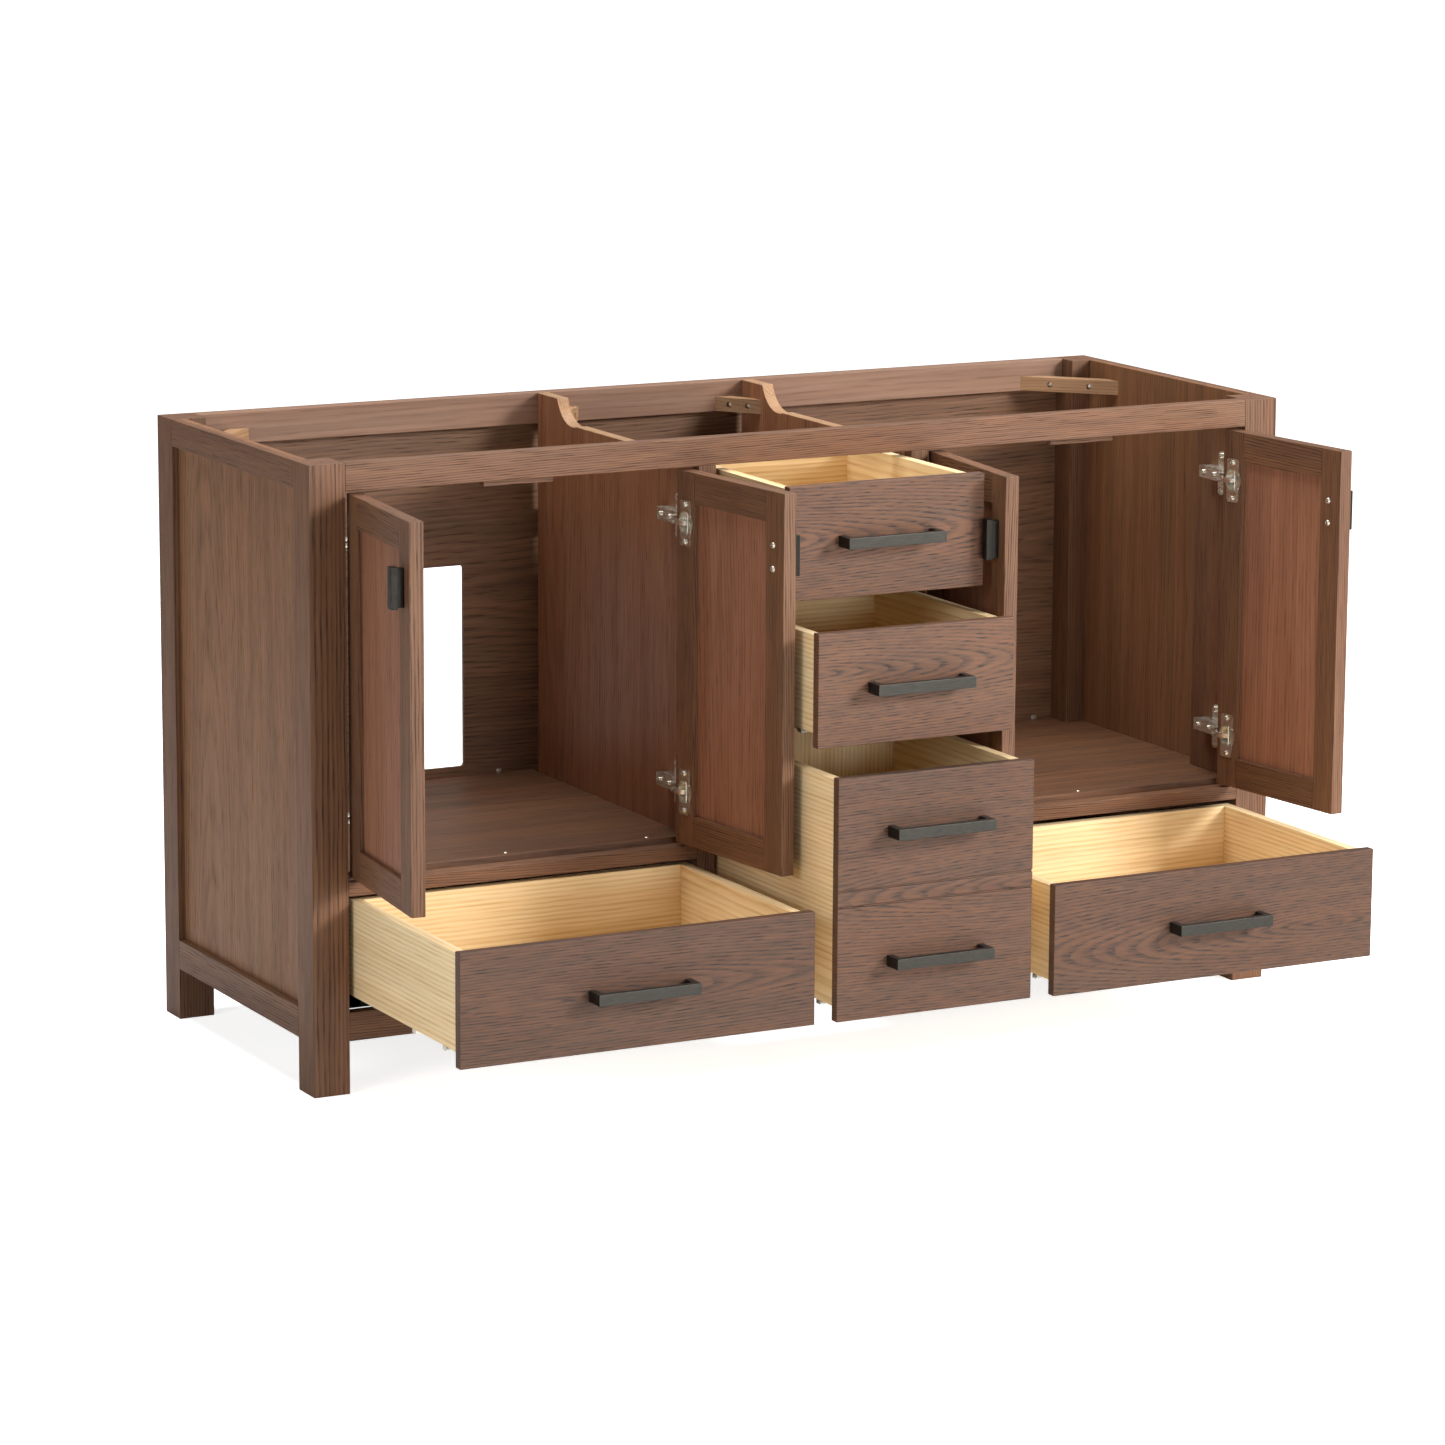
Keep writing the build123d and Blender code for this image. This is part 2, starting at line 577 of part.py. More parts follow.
def drawer_pull(name):
    """Square bar pull on two end posts; the deep drawer has one on each half."""
    front, left, right, _ = DRAWERS[name]
    x = (left + right) / 2
    heights = [(front[0] + front[1]) / 2]
    if name == "deep_drawer":
        heights = [(WIDE_FRONT[0] + WIDE_FRONT[1]) / 2,
                   (MID_RAIL_BOTTOM + BOARD + DEEP_FRONT[1]) / 2]
    pieces = []
    for z in heights:
        z0, z1 = z - PULL_HEIGHT / 2, z + PULL_HEIGHT / 2
        bar_back = -PULL_REACH + PULL_THICKNESS
        pieces.append(block(x - PULL_LENGTH / 2, x + PULL_LENGTH / 2,
                            -PULL_REACH, bar_back, z0, z1))
        for side in (-1, 1):
            end = x + side * PULL_LENGTH / 2
            pieces.append(block(end, end - side * PULL_THICKNESS, bar_back, 0, z0, z1))
    return pieces


def runner_members(name, low, high, y0, y1):
    """A pair of straight runner members of one drawer."""
    front, left, right, _ = DRAWERS[name]
    base = runner_base(front)
    members = []
    for wall, into in ((left, 1), (right, -1)):
        near = wall + into * RUNNER_INSET
        far = wall + into * (RUNNER_INSET + RUNNER_WIDTH)
        members.append(block(near, far, y0, y1, base + low, base + high))
    return members


def drawer_runners(name):
    """The members screwed under the drawer's bottom panel."""
    top = RUNNER_BELOW_FRONT + BOTTOM_PANEL_RISE
    return runner_members(name, DRAWER_RUNNER_LOW, top,
                          FRONT_THICKNESS + BOX_BOARD + DRAWER_RUNNER_GAP, BOX_BACK_Y)


def middle_runners(name):
    """The sliding members between the fixed runners and the drawer's."""
    front_end, back_end = MIDDLE_RUNNER_ENDS
    return runner_members(name, *MIDDLE_RUNNER, RUNNER_START + front_end,
                          RUNNER_START + RUNNER_LENGTH - back_end)


def build():
    """Write every node."""
    os.makedirs("parts", exist_ok=True)
    carcass = {
        "front_posts": front_posts, "back_posts": back_posts, "side_rails": side_rails,
        "side_panels": side_panels, "front_top_rail": front_top_rail,
        "front_apron": front_apron, "centre_stiles": centre_stiles,
        "face_frame_rails": face_frame_rails, "partitions": partitions,
        "bay_floors": bay_floors, "back_rails": back_rails, "back_panel": back_panel,
        "hinge_cleats": hinge_cleats, "runner_cleats": runner_cleats, "braces": braces,
        "brace_screws": brace_screws, "door_stops": door_stops,
        "runner_channels": runner_channels, "hinge_arms": hinge_arms,
    }
    for name, make in carcass.items():
        save(name, make())
    for name in DOORS:
        save(name + "_frame", [door_place(name, board) for board in door_frame()])
        save(name + "_panel", [door_place(name, door_panel())])
        save(name + "_hinge_cups", [door_place(name, hinge_cup(z)) for z in CUP_HEIGHTS])
        save(name + "_knob", [door_place(name, piece) for piece in door_knob()])
    for name in DRAWERS:
        save(name + "_front", [drawer_place(name, piece) for piece in drawer_front(name)])
        save(name + "_box", [drawer_place(name, piece) for piece in drawer_box(name)])
        save(name + "_pull", [drawer_place(name, piece) for piece in drawer_pull(name)])
        save(name + "_runners", [drawer_place(name, piece) for piece in drawer_runners(name)])
        save(name + "_middle_runners",
             [drawer_place(name, piece, 0.5) for piece in middle_runners(name)])


build()
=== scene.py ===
import json
import math
import random

import bmesh
import bpy
from mathutils import Matrix, Vector


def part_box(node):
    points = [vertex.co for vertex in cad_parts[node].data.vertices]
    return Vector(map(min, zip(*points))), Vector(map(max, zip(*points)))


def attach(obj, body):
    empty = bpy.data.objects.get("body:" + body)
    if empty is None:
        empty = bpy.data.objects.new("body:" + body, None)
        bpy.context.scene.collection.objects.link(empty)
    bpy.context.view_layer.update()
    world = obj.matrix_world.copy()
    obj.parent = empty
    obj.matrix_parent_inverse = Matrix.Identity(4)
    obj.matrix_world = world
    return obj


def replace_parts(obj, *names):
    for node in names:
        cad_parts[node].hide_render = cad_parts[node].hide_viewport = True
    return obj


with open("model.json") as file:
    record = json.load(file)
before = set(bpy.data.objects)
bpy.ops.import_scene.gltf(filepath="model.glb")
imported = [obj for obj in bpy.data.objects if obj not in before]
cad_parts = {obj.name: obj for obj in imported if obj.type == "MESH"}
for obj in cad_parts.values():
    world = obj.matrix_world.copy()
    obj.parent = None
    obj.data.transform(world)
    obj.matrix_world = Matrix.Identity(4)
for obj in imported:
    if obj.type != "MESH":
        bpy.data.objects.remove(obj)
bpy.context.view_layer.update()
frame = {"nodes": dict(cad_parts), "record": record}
BODIES = frame["record"]["behaviour"]["bodies"]
BODY_OF = {node: body for body, nodes in BODIES.items() for node in nodes}
SLOT_OF = {entry["node"]: entry["material_slot"] for entry in frame["record"]["subparts"]}
DOORS = [body for body in BODIES if body.endswith("_door")]
DRAWERS = [body for body in BODIES if body.endswith("_drawer")]

WHITE = (1, 1, 1, 1)
UP = Vector((0, 0, 1))


# ---------------------------------------------------------------- shader helpers
class Graph:
    """The node tree of a material or a world, with short ways to add and link nodes."""

    def __init__(self, owner):
        owner.use_nodes = True
        self.owner = owner
        self.nodes = owner.node_tree.nodes
        self.links = owner.node_tree.links

    def feed(self, node, key, value):
        """Give an input a constant, or link it to another node's output."""
        if isinstance(value, bpy.types.NodeSocket):
            self.links.new(value, node.inputs[key])
        else:
            node.inputs[key].default_value = value

    def add(self, kind, inputs, **settings):
        """Add a node with its inputs fed, by key, and its settings."""
        node = self.nodes.new("ShaderNode" + kind)
        for key, value in settings.items():
            setattr(node, key, value)
        for key, value in inputs.items():
            self.feed(node, key, value)
        return node

    def math(self, operation, *values, clamp=False):
        """The result of a sum on sockets or numbers."""
        inputs = dict(enumerate(values))
        return self.add("Math", inputs, operation=operation, use_clamp=clamp).outputs[0]

    def scaled(self, vector, scale):
        return self.add("VectorMath", {0: vector, 1: scale}, operation="MULTIPLY").outputs[0]

    def length(self, vector):
        return self.add("VectorMath", {0: vector}, operation="LENGTH").outputs["Value"]

    def noise(self, vector, scale, detail=3.0, roughness=0.55):
        """Noise of the vector stretched by a per-axis scale."""
        inputs = {"Vector": self.scaled(vector, scale), "Scale": 1.0, "Detail": detail,
                  "Roughness": roughness}
        return self.add("TexNoise", inputs, noise_dimensions="3D").outputs["Fac"]

    def span(self, value, low, high, to_low=0.0, to_high=1.0):
        """The value from low..high mapped smoothly onto to_low..to_high."""
        inputs = {"Value": value, "From Min": low, "From Max": high,
                  "To Min": to_low, "To Max": to_high}
        return self.add("MapRange", inputs, interpolation_type="SMOOTHSTEP").outputs[0]

    def blend(self, factor, a, b, mode="MIX"):
        """Colour a with this share of colour b mixed or multiplied in."""
        node = self.add("Mix", {0: factor, 6: a, 7: b}, data_type="RGBA", blend_type=mode)
        return node.outputs[2]

    def attribute(self, name, output="Vector"):
        return self.add("Attribute", {}, attribute_name=name).outputs[output]

    def bump(self, height, distance):
        return self.add("Bump", {"Height": height, "Distance": distance}).outputs["Normal"]

    def finish(self, **sockets):
        """Set the shader's own sockets, named with underscores for spaces."""
        for key, value in sockets.items():
            self.feed(self.nodes["Principled BSDF"], key.replace("_", " "), value)
        return self.owner


def srgb(code):
    """Linear colour of a six-digit hexadecimal code."""
    parts = [int(code[i:i + 2], 16) / 255 for i in (0, 2, 4)]
    return tuple(c / 12.92 if c < 0.04045 else ((c + 0.055) / 1.055) ** 2.4
                 for c in parts) + (1.0,)


# ---------------------------------------------------------------- wood
# Every board carries a "grain" attribute: metres along the grain, across the board and
# through it, measured from the heart of the tree it was sawn from. "board" is its own tone:
# its stain, and on the drawer fronts also painted shade.

# How fine each figure is, in noise cycles per metre along the grain, across it and through it.
SWAY = (2.2, 9, 9)
RIPPLE = (14, 60, 60)
FIBRE = (6, 300, 300)
STREAK = (1.7, 48, 48)
VESSEL = (18, 440, 440)
PATCH = (1.3, 26, 26)
CLOUD = (1.1, 5, 5)
# How many rings the ripple moves the figure by.
RIPPLE_TURNS = 0.5
# Where in a ring the open early wood comes in and where it has gone again, as shares of it.
EARLY_START = (0.0, 0.14)
EARLY_END = (0.7, 0.18)
# The middle of a noise, where nearly all of its values are, and two narrower ones that give
# more contrast.
MIDDLE = (0.3, 0.7)
STREAK_MIDDLE = (0.32, 0.68)
PATCH_MIDDLE = (0.35, 0.65)
# The vessel noise from solid wood to an open pore, and to the darker dash around one.
PORE_RIM = (0.52, 0.66)
DASH_RIM = (0.42, 0.6)
# How many of the pores late wood has, and how strong a ring stays between its dashes.
LATE_PORES = 0.25
RING_GAPS = 0.6
# How far the clouds darken and lighten a board.
CLOUD_TONES = (0.93, 1.07)
# Heights of the fibres and of the sunken early wood, as shares of a pore's depth.
FIBRE_HEIGHT = 0.35
EARLY_DEPTH = 0.25
# How much rougher the pores and the streaks are.
PORE_ROUGHNESS = 0.22
STREAK_ROUGHNESS = 0.08


def early_wood(g, grain, ring, sway_turns):
    """1 in the early wood of each growth ring and 0 in its late wood, as the saw cut them."""
    sway = g.math("MULTIPLY", g.noise(grain, SWAY, detail=2.0), sway_turns)
    ripple = g.math("MULTIPLY", g.noise(grain, RIPPLE), RIPPLE_TURNS)
    turns = g.math("DIVIDE", g.length(g.scaled(grain, (0, 1, 1))), ring)
    share = g.math("FRACT", g.math("ADD", g.math("ADD", turns, sway), ripple))
    return g.math("MULTIPLY", g.span(share, *EARLY_START), g.span(share, *EARLY_END))


def mottled(g, colour, grain, tint, boards):
    """The colour with warm and cool patches, soft clouds and each board's own tone, which on
    the drawer fronts is also painted shade.
    """
    warm = (1 + tint, 1.0, 1 - tint, 1.0)
    cool = (1 - tint, 1 + 0.3 * tint, 1 + tint, 1.0)
    patches = g.span(g.noise(grain, PATCH, detail=2.0), *PATCH_MIDDLE)
    colour = g.blend(1.0, colour, g.blend(patches, warm, cool), "MULTIPLY")
    shade = g.span(g.attribute("board", "Fac"), 0.0, 1.0, 1 - boards, 1 + boards)
    cloud = g.span(g.noise(grain, CLOUD, detail=1.0), *MIDDLE, *CLOUD_TONES)
    value = g.math("MULTIPLY", shade, cloud)
    return g.add("HueSaturation", {"Value": value, "Color": colour}).outputs[0]


def wood(name, colours, ring, rings, pores, fibres=0.35, streaks=0.35, tint=0.03,
         boards=0.08, roughness=0.46, relief=0.00022, sway_turns=2.5):
    """Sawn wood: growth rings cut by the board, pores and fibres along the grain.
    The colours are between the rings, in the rings and in the pores; the strengths of
    rings, pores, fibres and broad streaks are shares of the step between them. A ring is
    this wide and sways by so many turns; tint and boards are how far patches and boards
    differ; relief is the depth of the surface in metres."""
    light, dark, pore = (srgb(code) for code in colours)
    g = Graph(bpy.data.materials.new(name))
    grain = g.attribute("grain")
    early = early_wood(g, grain, ring, sway_turns)
    fibre = g.noise(grain, FIBRE, detail=4.0, roughness=0.6)
    streak = g.noise(grain, STREAK)
    vessels = g.noise(grain, VESSEL, detail=2.0, roughness=0.5)

    open_pores = g.math("MULTIPLY", g.span(vessels, *PORE_RIM),
                        g.span(early, 0.0, 1.0, LATE_PORES, 1.0))
    dashes = g.span(g.span(vessels, *DASH_RIM), 0.0, 1.0, RING_GAPS, 1.0)
    broken = g.math("MULTIPLY", early, dashes)
    tone = g.math("MULTIPLY", g.span(fibre, *MIDDLE), fibres)
    tone = g.math("ADD", tone, g.math("MULTIPLY", broken, rings))
    streak_tone = g.math("MULTIPLY", g.span(streak, *STREAK_MIDDLE), streaks)
    tone = g.math("ADD", tone, streak_tone, clamp=True)
    colour = g.blend(tone, light, dark)
    colour = g.blend(g.math("MULTIPLY", open_pores, pores), colour, pore)

    height = g.math("SUBTRACT", g.math("MULTIPLY", fibre, FIBRE_HEIGHT), open_pores)
    height = g.math("SUBTRACT", height, g.math("MULTIPLY", early, EARLY_DEPTH))
    rough = g.math("ADD", g.math("MULTIPLY", open_pores, PORE_ROUGHNESS), roughness)
    rough = g.math("ADD", rough, g.math("MULTIPLY", streak, STREAK_ROUGHNESS))
    return g.finish(Base_Color=mottled(g, colour, grain, tint, boards), Roughness=rough,
                    Specular_IOR_Level=0.3, Normal=g.bump(height, relief))


def veneer(name, colours, **changes):
    """Sliced wood with wide quiet rings and a smoother face."""
    usual = dict(ring=0.006, rings=0.35, pores=0.4, fibres=0.4, streaks=0.45, tint=0.025,
                 relief=0.0001, sway_turns=4.0)
    return wood(name, colours, **{**usual, **changes})


OAK = wood("oak", ("795439", "4e3223", "322019"), ring=0.0026, rings=0.7, pores=0.5,
           streaks=0.25)
# boards=0.2 is also how far the drawer fronts' painted shade, together with their stain,
# darkens the lower fronts.
FRONT_OAK = wood("oak_front", ("674530", "402d22", "302723"), ring=0.004, rings=0.6,
                 pores=0.8, fibres=0.4, streaks=0.25, boards=0.2, sway_turns=3.0)
VENEER = veneer("oak_veneer", ("a26e4d", "7f533a", "4a3021"), roughness=0.42)
PANEL = veneer("door_panel", ("90624a", "704834", "45301f"), roughness=0.42)
SIDE = veneer("side_veneer", ("875d3f", "66462d", "442a18"), ring=0.0055, fibres=0.45)
FLOOR = veneer("floor_veneer", ("66432b", "49301e", "342218"), rings=0.3, pores=0.45,
               fibres=0.45, streaks=0.5, tint=0.03)
BACKING = wood("oak_backing", ("7b573d", "4f3725", "2c1d14"), ring=0.0055, rings=0.35,
               pores=0.5, streaks=0.4, sway_turns=5.0)
SMOOTH = wood("stained_rail", ("846551", "6b4c3b", "4b3528"), ring=0.008, rings=0.3,
              pores=0.12, streaks=0.5, relief=0.00006)
RAW = wood("pale_oak", ("a58160", "866345", "634730"), ring=0.004, rings=0.4, pores=0.3,
           relief=0.00006)
PINE = wood("pine", ("eed8ad", "d0aa76", "a9814d"), ring=0.0062, rings=0.5, pores=0.08,
            fibres=0.3, streaks=0.3, tint=0.02, boards=0.04, roughness=0.5,
            relief=0.00008, sway_turns=1.4)


# ---------------------------------------------------------------- metal
# Noise cycles per metre, as for wood, the scratches' depth in metres, and how much rougher
# scratches and smudges are.
SCRATCHES = (30, 2600, 2600)
SMUDGES = (60, 60, 60)
SCRATCH_DEPTH = 0.00002
SCRATCH_ROUGHNESS = 0.12
SMUDGE_ROUGHNESS = 0.1


def metal(name, colour, roughness, variation=0.25):
    """Brushed or plated metal, its scratches along the piece."""
    base = srgb(colour)
    g = Graph(bpy.data.materials.new(name))
    grain = g.attribute("grain")
    brush = g.noise(grain, SCRATCHES)
    smudge = g.noise(grain, SMUDGES)
    dark = tuple(c * (1 - variation) for c in base[:3]) + (1.0,)
    pale = tuple(min(1, c * (1 + variation)) for c in base[:3]) + (1.0,)
    rough = g.math("ADD", g.span(brush, *MIDDLE, 0, SCRATCH_ROUGHNESS),
                   g.span(smudge, *MIDDLE, 0, SMUDGE_ROUGHNESS))
    rough = g.math("ADD", rough, roughness)
    return g.finish(Base_Color=g.blend(g.span(brush, *MIDDLE), dark, pale), Roughness=rough,
                    Metallic=1.0, Normal=g.bump(brush, SCRATCH_DEPTH))


GUNMETAL = metal("gunmetal", "3f3d39", 0.3)
# The knob is the same gunmetal as the pulls, made darker as painted shade for its darker
# reflections.
KNOB_SHADED_GUNMETAL = metal("knob_gunmetal_painted_shade", "2c2a27", 0.3)
NICKEL = metal("nickel", "dcd8ce", 0.2, variation=0.15)
RUNNER = metal("runner_steel", "20231f", 0.42, variation=0.3)
SCREW = metal("screw_steel", "c8c2b4", 0.25, variation=0.15)


# ---------------------------------------------------------------- boards
# Edges that turn by more than this, in degrees, are rounded.
SHARP_EDGE = 30
# Edges that still turn by more than this, in degrees, are shaded as sharp.
SHADED_SHARP = 38
# An inward turn of more than this, in radians, counts as a corner.
INWARD_CORNER = 0.3
# Faces whose edges turn by less than this, in radians, are one flat face.
SAME_FACE = 0.01
# Decimals, in metres, to which two corners have to agree to be one.
SAME_PLACE = 6
# Two normals are square to each other if their product is less than this, and a face looks
# up if its normal rises by more than this.
SQUARE = 0.2
LOOKS_UP = 0.3
# How much of the tree's length boards are taken from, in metres.
TREE_LENGTH = 40


def has_inward_corner(part):
    """True if the solid has a bore, a groove or a notch."""
    return any(len(edge.link_faces) == 2 and edge.calc_face_angle() > INWARD_CORNER
               and not edge.is_convex for edge in part.edges)


def solids(mesh):
    """The mesh's solids in turn, each as its own bmesh. A solid is whole once no edge of the
    faces gathered so far is left open. The flat faces of a plain one are joined up."""
    places = [tuple(round(value, SAME_PLACE) for value in vert.co)
              for vert in mesh.vertices]
    open_edges = set()
    faces = []
    for polygon in mesh.polygons:
        corners = [places[index] for index in polygon.vertices]
        faces.append(corners)
        open_edges ^= {frozenset(ends) for ends in zip(corners, corners[1:] + corners[:1])}
        if open_edges:
            continue
        part = bmesh.new()
        made = {}
        for face in faces:
            for corner in face:
                if corner not in made:
                    made[corner] = part.verts.new(corner)
            part.faces.new([made[corner] for corner in face])
        part.normal_update()
        if not has_inward_corner(part):
            bmesh.ops.dissolve_limit(part, angle_limit=SAME_FACE, verts=part.verts,
                                     edges=part.edges)
            part.normal_update()
        yield part
        faces = []


def board_axes(part):
    """Directions of a board: its long side, its width and its thickness."""
    faces = sorted(part.faces, key=lambda face: -face.calc_area())
    thick = faces[0].normal.copy()
    side = next((face.normal.copy() for face in faces
                 if abs(face.normal.dot(thick)) < SQUARE), thick.orthogonal())
    side = (side - thick * side.dot(thick)).normalized()
    other = thick.cross(side)
    points = [vert.co for vert in part.verts]

    def extent(axis):
        along = [point.dot(axis) for point in points]
        return max(along) - min(along)

    long, width = sorted((side, other), key=extent, reverse=True)
    return long, width, thick


def soften(part, width):
    """Round the part's sharp edges."""
    sharp = [edge for edge in part.edges
             if len(edge.link_faces) == 2
             and edge.calc_face_angle() > math.radians(SHARP_EDGE)]
    bmesh.ops.bevel(part, geom=sharp, offset=width, segments=2, profile=0.5,
                    affect="EDGES", clamp_overlap=True)


class Shape:
    """Collects parts into one mesh with the grain attributes and materials."""

    def __init__(self, name, seed=None):
        self.name = name
        self.random = random.Random(seed or name)
        self.points, self.faces, self.slots = [], [], []
        self.grain, self.board = [], []
        self.materials = []

    def slot_of(self, material):
        if material not in self.materials:
            self.materials.append(material)
        return self.materials.index(material)

    def add(self, part, material, axes=None, heart=(0.06, 0.12), aside=(0.07, 0.15),
            tilt=0.05, top=None, tone=None):
        """Add a bmesh. The board was cut between these distances under the tree's heart and
        beside it, out of line with it by up to tilt; tone is how light the board is, from 0
        to 1: its stain, and on the drawer fronts also painted shade. With top, faces that look
        up take that material."""
        pick = self.random
        long, width, thick = axes or board_axes(part)
        if pick.random() < 0.5:
            thick = -thick
        start = pick.uniform(0, TREE_LENGTH)
        side = pick.uniform(*aside) * pick.choice((-1, 1))
        depth = pick.uniform(*heart)
        slope = pick.uniform(-tilt, tilt)
        chance = pick.random()
        tone = chance if tone is None else tone
        centre = sum((vert.co for vert in part.verts), Vector()) / len(part.verts)
        offset = len(self.points)
        part.verts.index_update()
        for vert in part.verts:
            at = vert.co - centre
            along = at.dot(long)
            self.points.append(vert.co.copy())
            self.grain.append((start + along, at.dot(width) + side,
                               at.dot(thick) + depth + slope * along))
            self.board.append(tone)
        for face in part.faces:
            self.faces.append([offset + vert.index for vert in face.verts])
            looks_up = top is not None and face.normal.z > LOOKS_UP
            self.slots.append(self.slot_of(top if looks_up else material))

    def build(self, body, slot):
        """Make the object, riding on its body."""
        mesh = bpy.data.meshes.new(self.name)
        mesh.from_pydata(self.points, [], self.faces)
        for material in self.materials:
            mesh.materials.append(material)
        mesh.polygons.foreach_set("material_index", self.slots)
        grain = mesh.attributes.new("grain", "FLOAT_VECTOR", "POINT")
        grain.data.foreach_set("vector", [value for row in self.grain for value in row])
        board = mesh.attributes.new("board", "FLOAT", "POINT")
        board.data.foreach_set("value", self.board)
        mesh.shade_smooth()
        mesh.set_sharp_from_angle(angle=math.radians(SHADED_SHARP))
        mesh.update()
        piece = bpy.data.objects.new(self.name, mesh)
        bpy.context.scene.collection.objects.link(piece)
        normals = piece.modifiers.new("normals", "WEIGHTED_NORMAL")
        normals.keep_sharp = True
        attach(piece, body)
        return piece


def finished(node, material, bevel=0.0012, along=None, **options):
    """Stand in for a CAD node with its own boards, edges softened and grain laid, which
    runs the long way of each board or along a given direction."""
    shape = Shape(node + "_finished", seed=node)
    for part in solids(frame["nodes"][node].data):
        soften(part, bevel)
        axes = board_axes(part)
        if along:
            axes = (Vector(along), axes[2].cross(Vector(along)), axes[2])
        shape.add(part, material, axes=axes, **options)
        part.free()
    piece = shape.build(BODY_OF[node], SLOT_OF[node])
    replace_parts(piece, node)


# ---------------------------------------------------------------- screws and clips
# A screw head's outline from the base up, as shares of its radius and height, and how many
# sides it has.
SCREW_OUTLINE = ((1.0, 0.0), (0.98, 0.35), (0.85, 0.75), (0.64, 1.0))
SCREW_SIDES = 24
# Its cross recess: arm length, half width and how the floor shrinks, as shares of the radius
# and of the outline, and the floor's height as a share of the head's.
CROSS_ARM = 0.5
CROSS_HALF_WIDTH = 0.13
CROSS_TAPER = 0.7
CROSS_FLOOR = 0.4
# A disc has more corners than this, normals that agree to this product, and corners whose
# distances from its centre differ by less than this factor.
DISC_CORNERS = 8
DISC_FLAT = 0.999
DISC_ROUND = 1.03


def discs(mesh, largest=0.006):
    """Centre, outward normal and radius of each round flat face up to the largest radius,
    from left to right."""
    whole = bmesh.new()
    whole.from_mesh(mesh)
    seen = set()
    found = []
    for first in whole.faces:
        if first in seen:
            continue
        seen.add(first)
        patch = [first]
        for face in patch:
            neighbours = (other for edge in face.edges for other in edge.link_faces)
            for other in neighbours:
                if other not in seen:
                    seen.add(other)
                    patch.append(other)
        points = list(dict.fromkeys(vert for face in patch for vert in face.verts))
        centre = sum((vert.co for vert in points), Vector()) / len(points)
        spokes = [(vert.co - centre).length for vert in points]
        normal = patch[0].normal.copy()
        flat = all(face.normal.dot(normal) > DISC_FLAT for face in patch)
        limit = min(largest, DISC_ROUND * min(spokes))
        if flat and len(points) > DISC_CORNERS and max(spokes) < limit:
            found.append((centre, normal, max(spokes)))
    whole.free()
    return sorted(found, key=lambda disc: tuple(round(value, 5) for value in disc[0]))


def cross(radius):
    """The twelve corners of a screw's cross, anticlockwise."""
    arm, half = CROSS_ARM * radius, CROSS_HALF_WIDTH * radius
    corners = [(arm, -half), (arm, half), (half, half)]
    return [(x * cos - y * sin, x * sin + y * cos)
            for cos, sin in ((1, 0), (0, 1), (-1, 0), (0, -1)) for x, y in corners]


def wall(part, low, high):
    """Faces between two loops of vertices."""
    for i in range(len(low)):
        j = (i + 1) % len(low)
        part.faces.new((low[i], low[j], high[j], high[i]))


def screw_head(radius, height):
    """A domed head with a cross recess, standing on z = 0."""
    head = bmesh.new()
    step = 2 * math.pi / SCREW_SIDES
    rings = [[head.verts.new((radius * share * math.cos(step * i),
                              radius * share * math.sin(step * i), level * height))
              for i in range(SCREW_SIDES)] for share, level in SCREW_OUTLINE]
    for low, high in zip(rings, rings[1:]):
        wall(head, low, high)
    head.faces.new(rings[0][::-1])
    outline = cross(radius)
    lip = [head.verts.new((x, y, height)) for x, y in outline]
    floor = [head.verts.new((CROSS_TAPER * x, CROSS_TAPER * y, CROSS_FLOOR * height))
             for x, y in outline]
    edges = []
    for loop in (rings[-1], lip):
        for i, vert in enumerate(loop):
            after = loop[(i + 1) % len(loop)]
            edges.append(head.edges.get((vert, after)) or head.edges.new((vert, after)))
    bmesh.ops.triangle_fill(head, use_beauty=True, edges=edges)
    wall(head, lip, floor)
    head.faces.new(floor)
    bmesh.ops.recalc_face_normals(head, faces=head.faces)
    return head


def put(part, centre, normal):
    """Move a part made on z = 0 to stand on a surface."""
    turn = UP.rotation_difference(normal).to_matrix().to_4x4()
    bmesh.ops.transform(part, matrix=Matrix.Translation(centre) @ turn, verts=part.verts)
    return part


def screws(name, body, places, height=0.0012):
    """Screw heads on discs, as one piece."""
    shape = Shape(name)
    for centre, normal, radius in places:
        head = put(screw_head(radius, height), centre, normal)
        shape.add(head, SCREW, axes=(normal.orthogonal(), normal.cross(normal.orthogonal()),
                                     normal))
        head.free()
    return shape.build(body, "screw_steel")


def slab(shape, low, high, material, bevel):
    """Add a bevelled block between two corners."""
    part = bmesh.new()
    bmesh.ops.create_cube(part, size=1.0)
    size = Vector(high) - Vector(low)
    middle = (Vector(high) + Vector(low)) / 2
    for vert in part.verts:
        vert.co = Vector(vert.co[i] * size[i] + middle[i] for i in range(3))
    part.normal_update()
    soften(part, bevel)
    shape.add(part, material)
    part.free()


# ---------------------------------------------------------------- the cabinet's pieces
# Small fittings, in metres. A clip's size is across, front to back and up. CLIP_PLACES are
# distances behind a drawer's front; FLOOR_SCREWS and BACK_CLIPS are distances to either side
# of the middle of the cabinet, and FLOOR_SCREW_INSET is from the front edge of a floor.
KNOB_SCREW_HEIGHT = 0.0025
CLIP = (0.010, 0.011, 0.006)
CLIP_PLACES = (0.040, 0.136)
FLOOR_SCREWS = (0.242, 0.459)
FLOOR_SCREW_INSET = 0.012
FLOOR_SCREW_RADIUS = 0.003
FLOOR_SCREW_HEIGHT = 0.0008
BACK_CLIPS = (0.238, 0.677)
BACK_CLIP = (0.008, 0.005, 0.006)
# How light each drawer front is: partly its stain, and partly painted shade that makes the
# fronts darker the lower they sit and the further to the sides, where less light falls.
FRONT_STAIN_AND_SHADE = {"top_drawer": 0.85, "middle_drawer": 0.6, "deep_drawer": 0.35,
               "left_drawer": 0.05, "right_drawer": 0.0}


